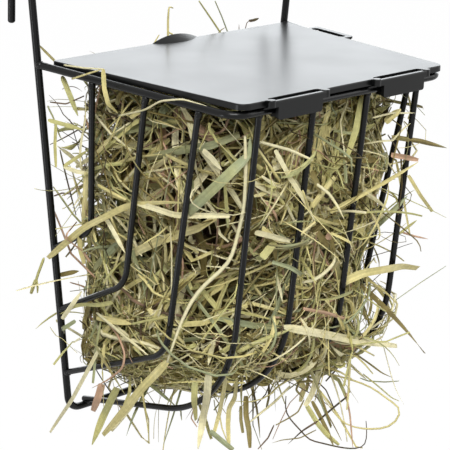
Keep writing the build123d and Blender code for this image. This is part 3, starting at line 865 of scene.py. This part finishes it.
def clear_strands(paths, room):
    """The strands that stay that far from every wire, off the lid and out of the hinge."""
    fine = np.concatenate([paths, (paths[:, 1:] + paths[:, :-1]) / 2], axis=1)
    flat = fine.reshape(-1, 3).astype(np.float32)
    wires = wire_points().astype(np.float32)
    nearest = np.empty(len(flat), np.float32)
    wire_squares = (wires**2).sum(1)
    for start in range(0, len(flat), 4000):
        part = flat[start : start + 4000]
        squares = (part**2).sum(1)[:, None] + wire_squares - 2 * part @ wires.T
        nearest[start : start + 4000] = np.sqrt(np.maximum(squares.min(1), 0))
    x, y, z = flat.T
    keep_off = np.where(np.abs(x) < CLIP_END_X, HINGE_ROOM, RIM_ROOM)
    hinge = np.hypot(y - HINGE_YZ[0], z - HINGE_YZ[1]) < keep_off
    lid_share = (LID_BACK_Y - y) / (LID_BACK_Y - LID_FRONT_Y)
    lid_side = LID_BACK_X + (LID_FRONT_X - LID_BACK_X) * lid_share + LID_ROOM
    over = (z > LID_UNDERSIDE_Z) & (y < LID_BACK_Y + LID_ROOM) & (y > LID_FRONT_Y - LID_FRONT_ROOM)
    over &= (x > -lid_side) & ((x < lid_side) | ((x < SIDE_CLIP[0]) & (y > SIDE_CLIP[1])))
    bad = (nearest < WIRE_RADIUS + room) | hinge | over
    return paths[~bad.reshape(len(paths), -1).any(1)]


def loose_paths(rng, roots, ways, lengths, droop, rings):
    """Strands that leave the hay: each grows from its root, curls a little and droops.

    The direction at a share t is the strand's own way, plus a side curl that grows with t, plus a fall
    that grows with t squared, plus a kink past a random place in every second strand, brought to length 1.
    """
    count = len(roots)
    t = (np.arange(rings - 1) + 0.5) / (rings - 1)
    curl = rng.normal(size=(count, 3)) * 0.2
    bent = rng.uniform(size=(count, 1)) < 0.5
    kink = rng.normal(size=(count, 3)) * 0.55 * bent
    ahead = ways[:, None] + curl[:, None] * (t[:, None] - 0.3) - np.array([0, 0, 1.0]) * (
        droop[:, None, None] * t[:, None] ** 2
    )
    ahead = ahead + kink[:, None] * (t > rng.uniform(0.25, 0.75, (count, 1)))[..., None]
    steps = unit(ahead) * (lengths[:, None, None] / (rings - 1))
    return np.concatenate([roots[:, None], roots[:, None] + np.cumsum(steps, axis=1)], axis=1)


def woven_paths(paths, reach):
    """Strands laid over the wires: each middle is brought outside the basket and its ends tucked in.

    The distance outside the wires at a share t is -2 plus (2 + reach) times the square root of the sine
    of pi t.
    """
    t = np.linspace(0, 1, paths.shape[1])
    target = -2 + (2 + reach[:, None]) * np.sqrt(np.sin(np.pi * t))
    for _ in range(6):
        over = basket_distance(paths) - target
        paths = paths - slope(basket_distance, paths) * over[..., None]
        paths[:, 1:-1] = 0.6 * paths[:, 1:-1] + 0.2 * (paths[:, :-2] + paths[:, 2:])
    return paths


def add_hay(name, rng, paths, outward, widths, thickness, material, tips, tint, corners=0, facing=None):
    """Makes one piece of hay from centre-lines and rides it on the rack. No corners make blades."""
    count, rings, _ = paths.shape
    if corners:
        section = np.broadcast_to(corners_round(corners), (count, corners, 2))
    else:
        section = leaf_section(rng, count)
    if facing is None:
        facing = facing_out(rng, paths, outward)
    vertices, values = strand_tubes(rng, paths, facing, widths, thickness, section, tips, tint)
    quads = tube_quads(count, rings, section.shape[1])
    piece = mesh_piece(name, vertices, quads, material, corners > 0, **values)
    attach(piece, "rack")


# ---- settings


def a_count(name, description, default):
    """A setting that is a whole number."""
    return IntProperty(name=name, description=description, default=default)


def a_number(name, description, default, **more):
    """A setting that is a plain number, or with more said about it a power or a length."""
    return FloatProperty(name=name, description=description, default=default, **more)


def a_length(name, description, default):
    """A setting that is a length, in metres."""
    return a_number(name, description, default, subtype="DISTANCE", unit="LENGTH")


def a_colour(name, description, hex_colour):
    """A setting that is a colour."""
    default = linear(hex_colour)
    return FloatVectorProperty(name=name, description=description, subtype="COLOR", default=default)


class HayRackWire(bpy.types.PropertyGroup):
    """Finish of the wires"""

    coat_colour: a_colour("Coat", "Powder coat's colour", "#0A0B0B")
    coat_worn_colour: a_colour("Thin coat", "Powder coat's colour where it is thin", "#131313")
    peel_size: a_length("Orange peel", "Width of the coat's small waves", 0.0015)
    bead_length: a_length("Weld length", "Length of a weld's bead", 0.0058)
    bead_radius: a_length("Weld radius", "Half the thickness of a weld's bead", 0.0017)


class HayRackLid(bpy.types.PropertyGroup):
    """Finish of the lid"""

    plastic_colour: a_colour("Plastic", "Lid's colour", "#090A0A")
    plastic_pale_colour: a_colour("Flow marks", "Lid's colour in the flow marks", "#0D0E0E")


class HayRackHay(bpy.types.PropertyGroup):
    """Amount, size and colours of the hay"""

    seed: a_count("Seed", "Which random hay is drawn", 7)
    core_count: a_count("Core", "Broad leaves deep inside", 1300)
    leaf_count: a_count("Leaves", "Leaves near the surface", 2400)
    stem_count: a_count("Stems", "Stems near the surface", 2200)
    fibre_count: a_count("Fibres", "Fine fibres near the surface", 1700)
    chaff_count: a_count("Chaff", "Short broken pieces", 900)
    corner_count: a_count("Corner", "Strands in the back corner", 110)
    woven_count: a_count("Over wires", "Strands over the wires", 230)
    loose_count: a_count("Loose ends", "Strands that stick out", 430)
    hanging_count: a_count("Hanging", "Strands that hang below", 55)
    standing_count: a_count("Standing", "Strands behind the lid", 16)
    leaf_width: a_length("Leaf width", "Usual width of a leaf", 0.0025)
    stem_width: a_length("Stem width", "Usual thickness of a stem", 0.0013)
    cream: a_colour("Cream", "Bleached straw", "#F4ECC0")
    straw: a_colour("Straw", "Yellow straw", "#E4D795")
    yellow_green: a_colour("Yellow green", "Half-dried leaf", "#C9C482")
    olive: a_colour("Olive", "Dried leaf", "#958650")
    grey_green: a_colour("Grey green", "Shaded leaf", "#A3AA84")
    rust: a_colour("Rust", "Sheaths and dead leaf", "#CFAA8C")
    umber: a_colour("Umber", "Dark old stems", "#3E3320")


class HayRackStudio(bpy.types.PropertyGroup):
    """Lamps and floor"""

    key_power: a_number("Key", "Power of the lamp at the upper left", 37.0, unit="POWER")
    fill_power: a_number("Fill", "Power of the lamp at the right", 9.0, unit="POWER")
    sky_strength: a_number("Sky", "Light from all round", 0.17)
    panel_strength: a_number("Panel", "Brightness of the panel that the lid mirrors", 3.8)
    strip_strength: a_number("Strip", "Brightness of the low strip that the wires mirror", 7.0)
    floor_height: a_length("Floor", "Height of the floor", -0.71)


# ---- operators


def finish_node(node, material):
    """Gives a CAD node that material alone."""
    node.data.materials.clear()
    node.data.materials.append(material)


class HAYRACK_OT_wire(bpy.types.Operator):
    """Gives the wires their powder coat"""

    bl_idname = "hayrack.wire"
    bl_label = "Coat the wires"

    def execute(self, context):
        coat = powder_coat(context.scene.hayrack_wire)
        for name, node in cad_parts.items():
            if name != "lid":
                finish_node(node, coat)
        return {"FINISHED"}


class HAYRACK_OT_lid(bpy.types.Operator):
    """Gives the lid its moulded plastic"""

    bl_idname = "hayrack.lid"
    bl_label = "Finish the lid"

    def execute(self, context):
        finish_node(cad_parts["lid"], moulded_lid(context.scene.hayrack_lid))
        return {"FINISHED"}


class HAYRACK_OT_hay(bpy.types.Operator):
    """Fills the rack with packed hay"""

    bl_idname = "hayrack.hay"
    bl_label = "Pack the hay"

    def execute(self, context):
        hay = context.scene.hayrack_hay
        rng = np.random.default_rng(hay.seed)
        for name, layer in LAYERS.items():
            self.pack(hay, rng, name, **layer)
        self.fill_corner(hay, rng)
        return {"FINISHED"}

    def pack(
        self, hay, rng, name, tries, near, lengths, level, bend, kink, rings, sunk, widths, shares, out, tips,
        thickness=None, wide=None, oval=None, rounds=5, corners=0,
    ):
        """Lays one layer of hay. A stem's thickness is its width times oval."""
        count = getattr(hay, f"{name}_count")
        tried = count * tries
        centres = hay_centres(rng, tried, *near)
        lengths = draw(rng, lengths, tried)
        paths = strand_paths(rng, centres, spread_ways(rng, tried, level), lengths, bend, kink, rings)
        depth = sunk[0] + np.abs(rng.normal(0, sunk[1], tried))
        if tried > count:
            paths = press_straight(paths, depth, lengths, count)
        else:
            paths = press_in(paths, depth, rounds)
        widths = draw(rng, widths, count) * (getattr(hay, wide) / MM if wide else 1)
        thickness = widths * oval if oval else draw(rng, thickness, count)
        tint = draw_tints(rng, count, shares)
        blades, straws = hay_materials(hay)
        material = straws if corners else blades
        add_hay(LAYER_PIECES[name], rng, paths, out, widths, thickness, material, tips, tint, corners)

    def fill_corner(self, hay, rng):
        """Where the left back corner is nearly empty: old kinked stems, and short blades."""
        count, (blades, straws) = hay.corner_count, hay_materials(hay)
        centres = rng.uniform(*CORNER_BOX, (count, 3))
        ways = unit(rng.normal(size=(count, 3)) * [0.7, 0.9, 1.0])
        lengths = rng.uniform(18, 60, count)
        paths = clear_strands(strand_paths(rng, centres, ways, lengths, 0.4, 0.9, 12), 0.6)
        half = len(paths) // 2
        widths = rng.uniform(0.4, 1.0, len(paths) - half)
        tint = draw_tints(rng, len(widths), CORNER_SHARES)
        add_hay("hay_corner_stems", rng, paths[half:], 0.2, widths, widths, straws, 0.6, tint, 4)
        widths, thickness = rng.uniform(1.2, 3.0, half), np.full(half, 0.3)
        tint = draw_tints(rng, half, LEAF_SHARES)
        add_hay("hay_corner_leaves", rng, paths[:half], 0.5, widths, thickness, blades, 0.5, tint)


class HAYRACK_OT_loose_hay(bpy.types.Operator):
    """Adds the hay that lies over the wires, sticks out between them or hangs below"""

    bl_idname = "hayrack.loose_hay"
    bl_label = "Pull out loose hay"

    def execute(self, context):
        hay = context.scene.hayrack_hay
        rng = np.random.default_rng(hay.seed + 1)
        self.weave(hay, rng)
        self.pull_out(hay, rng)
        self.hang(hay, rng)
        self.stand(hay, rng)
        return {"FINISHED"}

    def weave(self, hay, rng):
        """Straight strands over the wires, most of them low down."""
        count = hay.woven_count * 16
        centres = hay_centres(rng, count, 7.0)
        lengths = draw(rng, (38, 0.35, 18, 58), count)
        paths = strand_paths(rng, centres, spread_ways(rng, count, 0.9), lengths, 0.2, 0.4, 10)
        paths = woven_paths(paths, rng.uniform(3.0, 6.0, count))
        x, y, z = np.moveaxis(paths, -1, 0)
        keep = np.linalg.norm(paths[:, -1] - paths[:, 0], axis=1) > 0.9 * lengths  # nearly straight
        keep &= (np.abs(x).max(1) < 76) | (y.max(1) < -62)  # not on the back half of the sides
        keep &= (z.min(1) > -205) | (x.min(1) > 0)  # nor at the lower left, where few lie
        keep &= (z.mean(1) < -185) | (rng.uniform(size=count) < 0.2)  # one in five above the lower bends
        paths = paths[keep & (z.max(1) < -53)]  # none over the rim
        self.split("woven", hay, rng, clear_strands(paths, 0.9), 1.2, 0.75, 1.0)

    def pull_out(self, hay, rng):
        """Strands that stick out, half of them steeply."""
        count = hay.loose_count * 3
        roots = hay_centres(rng, count, 9.0)
        lean = np.where(rng.uniform(size=(count, 1)) < 0.5, 0.2, 0.8)
        ways = unit(lean * slope(hay_distance, roots) + rng.normal(size=(count, 3)) * 0.75)
        lengths = draw(rng, (34, 0.4, 12, 75), count)
        paths = within_reach(loose_paths(rng, roots, ways, lengths, rng.uniform(0, 0.6, count), 9))
        x, z = paths[..., 0], paths[..., 2]
        keep = (x > -leg_x(z) - LEFT_OVERHANG).all(1) & (x < leg_x(z) + RIGHT_OVERHANG).all(1)
        paths = paths[keep & (z.max(1) < -48)]  # none over the rim
        self.split("loose", hay, rng, clear_strands(paths, 0.7), 0.2, 0.75, 0.8)

    def hang(self, hay, rng):
        """Strands that hang below, fewer at the left."""
        tried = hay.hanging_count * 2
        roots = hay_centres(rng, tried * 5, 12.0)
        roots = roots[profile_distance(roots[:, 1], roots[:, 2]) > -16]  # near the front and bottom
        seen = (roots[:, 0] > -10) | (rng.uniform(size=len(roots)) < 0.3)
        roots = roots[(roots[:, 2] < -185) & seen][:tried]
        count = len(roots)
        ways = unit(rng.normal(size=(count, 3)) * [0.8, 0.8, 0.3] + [0, -0.2, -0.7])
        lengths = draw(rng, (30, 0.45, 10, 80), count)
        paths = within_reach(loose_paths(rng, roots, ways, lengths, rng.uniform(0.2, 1.6, count), 9))
        self.split("hanging", hay, rng, clear_strands(paths, 0.7), 0.2, 0.85, 0.8)

    def stand(self, hay, rng):
        """Strands that stand up behind the lid, between it and the cage."""
        count = hay.standing_count * 2
        roots = rng.uniform(*STANDING_BOX, (count, 3))
        ways = unit(rng.normal(size=(count, 3)) * [1.3, 0.05, 0.5] + [0, 0.12, 0.75])
        lengths = rng.uniform(10, 26, count)
        paths = loose_paths(rng, roots, ways, lengths, rng.uniform(0, 0.6, count), 9)
        paths[..., 1] = np.clip(paths[..., 1], -13.6, 3)
        self.split("standing", hay, rng, clear_strands(paths, 0.7), 0.2, 0.7, 0.7)

    def split(self, name, hay, rng, paths, outward, leaf_share, stem_share):
        """Makes some of the strands leaves, some stems and the rest fibres, as wide as those shares say."""
        paths = paths[: getattr(hay, f"{name}_count")]
        blades, straws = hay_materials(hay)
        kinds = rng.choice(3, len(paths), p=KIND_SHARES)
        leaves, stems, fibres = (paths[kinds == kind] for kind in range(3))
        widths = hay.leaf_width / MM * leaf_share * draw(rng, (1, 0.4, 0.4, 2.0), len(leaves))
        tint = draw_tints(rng, len(leaves), TOP_SHARES)
        thin = np.full(len(leaves), 0.3)
        add_hay(f"hay_{name}_leaves", rng, leaves, outward, widths, thin, blades, 0.4, tint)
        widths = hay.stem_width / MM * stem_share * draw(rng, (1, 0.35, 0.5, 1.8), len(stems))
        tint = draw_tints(rng, len(stems), TOP_SHARES)
        add_hay(f"hay_{name}_stems", rng, stems, outward, widths, widths * 0.8, straws, 0.3, tint, 6)
        widths = rng.uniform(0.35, 0.8, len(fibres))
        tint = draw_tints(rng, len(fibres), FIBRE_SHARES)
        add_hay(f"hay_{name}_fibres", rng, fibres, outward, widths, widths, straws, 0.8, tint, 4)


class HAYRACK_OT_long_strands(bpy.types.Operator):
    """Lays the single strands that stand out, where they are seen from the front left"""

    bl_idname = "hayrack.long_strands"
    bl_label = "Lay the long strands"

    def execute(self, context):
        hay = context.scene.hayrack_hay
        rng = np.random.default_rng(hay.seed + 2)
        eye, rings = camera_axes()[3], 24
        blades, straws = hay_materials(hay)
        for name, long, standing, material, corners in (
            ("hay_long_blades", LONG_BLADES, STANDING_BLADES, blades, 0),
            ("hay_long_stems", LONG_STEMS, STANDING_STEMS, straws, 6),
        ):
            paths = [seen_line(points, rings) for _, _, *points in long]
            paths += [standing_line(points, rings) for _, _, *points in standing]
            paths = within_reach(np.array(paths))
            tint = np.array([TINTS[strand[0]] for strand in long + standing])
            widths = np.array([strand[1] for strand in long + standing])
            thickness = widths * 0.85 if corners else np.full(len(widths), 0.35)
            facing = unit(eye - paths) + rng.normal(size=(len(paths), 1, 3)) * 0.28
            add_hay(name, rng, paths, 0, widths, thickness, material, 0.5, tint, corners, facing)
        return {"FINISHED"}


class HAYRACK_OT_welds(bpy.types.Operator):
    """Adds the small beads where wires are welded together"""

    bl_idname = "hayrack.welds"
    bl_label = "Add the weld beads"

    def execute(self, context):
        settings = context.scene.hayrack_wire
        places, ways, sizes = weld_places()
        count, rings, corners = len(places), 9, 10
        t = np.linspace(-0.98, 0.98, rings)
        half_length = sizes[:, :1] * settings.bead_length / MM / 2
        paths = places[:, None] + ways[:, None] * (half_length * t)[..., None]
        lumps = 1 + np.random.default_rng(3).normal(0, 0.03, (count, rings))
        radius = sizes[:, 1:] * settings.bead_radius / MM * np.sqrt(1 - t**2) * lumps
        facing = np.broadcast_to(unit(np.array([0.3, 0.2, 1.0])), paths.shape) + ways[:, None, ::-1] * 0.5
        section = np.broadcast_to(corners_round(corners), (count, corners, 2))
        vertices = sweep(paths, facing, np.repeat(radius[..., None], 2, -1), section).reshape(-1, 3)
        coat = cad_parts["top_rim"].data.materials[0]
        piece = mesh_piece("weld_beads", vertices, tube_quads(count, rings, corners), coat)
        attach(piece, "rack")
        return {"FINISHED"}


class HAYRACK_OT_stage(bpy.types.Operator):
    """Sets up the floor, the lamps and the camera"""

    bl_idname = "hayrack.stage"
    bl_label = "Set the stage"

    def execute(self, context):
        scene, studio = context.scene, context.scene.hayrack_studio
        scene.view_settings.view_transform = "Standard"
        self.place_camera(scene)
        self.make_world(scene, studio)
        self.make_floor(studio)
        self.make_panel(
            "panel", middle=(1.02, 1.1, 0.42), size=(2.4, 1.2), normal=(-0.68, -0.73, 0.0),
            mirrored=studio.panel_strength, plain=0.6,
        )
        self.make_panel(
            "strip", middle=(-0.93, 0.1, -0.42), size=(0.22, 0.5), normal=(0.93, -0.1, 0.3),
            mirrored=studio.strip_strength, plain=0.0,
        )
        self.add_lamp("key", place=(-1.03, -1.10, 1.15), size=1.0, power=studio.key_power)
        self.add_lamp("fill", place=(1.3, -1.2, 0.5), size=1.2, power=studio.fill_power)
        return {"FINISHED"}

    def place_camera(self, scene):
        """The photograph's camera. Its three axes and its place are the columns of its matrix."""
        right, up, back, eye = camera_axes()
        data = bpy.data.cameras.new("camera")
        data.sensor_width = 36.0
        data.lens = FOCAL_PIXELS / IMAGE_PIXELS * data.sensor_width
        data.shift_x = (IMAGE_PIXELS / 2 - IMAGE_CENTRE[0]) / IMAGE_PIXELS
        data.shift_y = (IMAGE_CENTRE[1] - IMAGE_PIXELS / 2) / IMAGE_PIXELS
        data.clip_end = 30.0
        camera = bpy.data.objects.new("camera", data)
        rows = np.eye(4)
        rows[:3] = np.stack([right, up, back, eye * MM], 1)
        camera.matrix_world = Matrix(rows.tolist())
        scene.collection.objects.link(camera)
        scene.camera = camera

    def make_world(self, scene, studio):
        """A soft sky, and plain white for what the camera, gloss and glass see."""
        world = bpy.data.worlds.new("studio")
        world.use_nodes = True
        tree = world.node_tree
        tree.nodes.clear()
        white = {"Value": self.seen_share(tree), "To Min": studio.sky_strength, "To Max": 1.0}
        strength = add_node(tree, "MapRange", white)
        light = add_node(tree, "Background", {"Color": (1, 1, 1, 1), "Strength": strength})
        add_node(tree, "OutputWorld", {"Surface": light})
        scene.world = world

    def seen_share(self, tree):
        """1 for camera, glossy and transmission rays, 0 for others."""
        path = add_node(tree, "LightPath").outputs
        mirrored = {0: path["Is Glossy Ray"], 1: path["Is Transmission Ray"]}
        mirrored = add_node(tree, "Math", mirrored, operation="MAXIMUM")
        return add_node(tree, "Math", {0: path["Is Camera Ray"], 1: mirrored}, operation="MAXIMUM")

    def make_floor(self, studio):
        """A wide matt white floor well under the rack. It is nearly plain white and takes faint shadows."""
        material, tree = new_material("studio_floor")
        matt = {"Base Color": (0.8, 0.8, 0.8, 1), "Roughness": 0.9, "Specular IOR Level": 0.0}
        matt = add_node(tree, "BsdfPrincipled", matt)
        # A little over 1, for the 3% that is matt
        white = add_node(tree, "Emission", {"Color": (1, 1, 1, 1), "Strength": 1.02})
        share = add_node(tree, "Math", {0: self.seen_share(tree), 1: 0.97}, operation="MULTIPLY")
        mix = add_node(tree, "MixShader", {0: share, 1: matt, 2: white})
        add_node(tree, "OutputMaterial", {"Surface": mix})
        self.add_sheet("floor", (0, 0, studio.floor_height), (9, 9), (0, 0, 1), material)

    def make_panel(self, name, middle, size, normal, mirrored, plain):
        """A pale panel for the lid or the wires to mirror, as bright as mirrored says.

        Its light on other things is only as strong as plain says.
        """
        material, tree = new_material(f"studio_{name}")
        gloss = add_node(tree, "LightPath").outputs["Is Glossy Ray"]
        strength = add_node(tree, "MapRange", {"Value": gloss, "To Min": plain, "To Max": mirrored})
        # A slightly cool white, as the lid's shine is in the photograph
        light = add_node(tree, "Emission", {"Color": (0.94, 0.975, 1, 1), "Strength": strength})
        add_node(tree, "OutputMaterial", {"Surface": light})
        panel = self.add_sheet(name, middle, size, normal, material)
        panel.visible_camera = panel.visible_shadow = False

    def add_sheet(self, name, middle, size, normal, material):
        """A flat rectangle that faces along its normal."""
        corners = np.array([[-1, -1, 0], [1, -1, 0], [1, 1, 0], [-1, 1, 0]]) * [*size, 0] / 2
        turn = Vector(normal).to_track_quat("Z", "Y").to_matrix()
        place = corners @ np.array(turn).T + np.array(middle)
        sheet = mesh_piece(name, place / MM, np.array([[0, 1, 2, 3]]), material, False)
        return sheet

    def add_lamp(self, name, place, size, power):
        """A square soft lamp that looks at the middle of the rack."""
        data = bpy.data.lights.new(name, "AREA")
        data.size, data.energy = size, power
        lamp = bpy.data.objects.new(name, data)
        lamp.location = place
        lamp.rotation_mode = "QUATERNION"
        lamp.rotation_quaternion = (Vector(place) - RACK_MIDDLE).to_track_quat("Z", "Y")
        bpy.context.scene.collection.objects.link(lamp)


class HAYRACK_PT_sidebar(bpy.types.Panel):
    """Lists the steps and their settings"""

    bl_idname = "HAYRACK_PT_sidebar"
    bl_label = "Hay Rack"
    bl_space_type = "VIEW_3D"
    bl_region_type = "UI"
    bl_category = "Hay Rack"

    def draw(self, context):
        for step in STEPS:
            self.layout.operator(step.bl_idname)
        for group in SETTINGS:
            box = self.layout.box()
            values = getattr(context.scene, group)
            for name in values.bl_rna.properties.keys():
                if name not in ("rna_type", "name"):
                    box.prop(values, name)


STEPS = (
    HAYRACK_OT_wire,
    HAYRACK_OT_lid,
    HAYRACK_OT_welds,
    HAYRACK_OT_hay,
    HAYRACK_OT_loose_hay,
    HAYRACK_OT_long_strands,
    HAYRACK_OT_stage,
)
SETTINGS = {
    "hayrack_wire": HayRackWire,
    "hayrack_lid": HayRackLid,
    "hayrack_hay": HayRackHay,
    "hayrack_studio": HayRackStudio,
}


def register():
    """Adds the settings, steps and sidebar to Blender."""
    for name, group in SETTINGS.items():
        bpy.utils.register_class(group)
        setattr(bpy.types.Scene, name, PointerProperty(type=group))
    for step in STEPS:
        bpy.utils.register_class(step)
    bpy.utils.register_class(HAYRACK_PT_sidebar)


def unregister():
    """Takes them out again."""
    bpy.utils.unregister_class(HAYRACK_PT_sidebar)
    for step in reversed(STEPS):
        bpy.utils.unregister_class(step)
    for name, group in SETTINGS.items():
        delattr(bpy.types.Scene, name)
        bpy.utils.unregister_class(group)


def main():
    """Runs every step in order."""
    register()
    bpy.ops.hayrack.wire()
    bpy.ops.hayrack.lid()
    bpy.ops.hayrack.welds()
    bpy.ops.hayrack.hay()
    bpy.ops.hayrack.loose_hay()
    bpy.ops.hayrack.long_strands()
    bpy.ops.hayrack.stage()


if __name__ == "__main__":
    main()
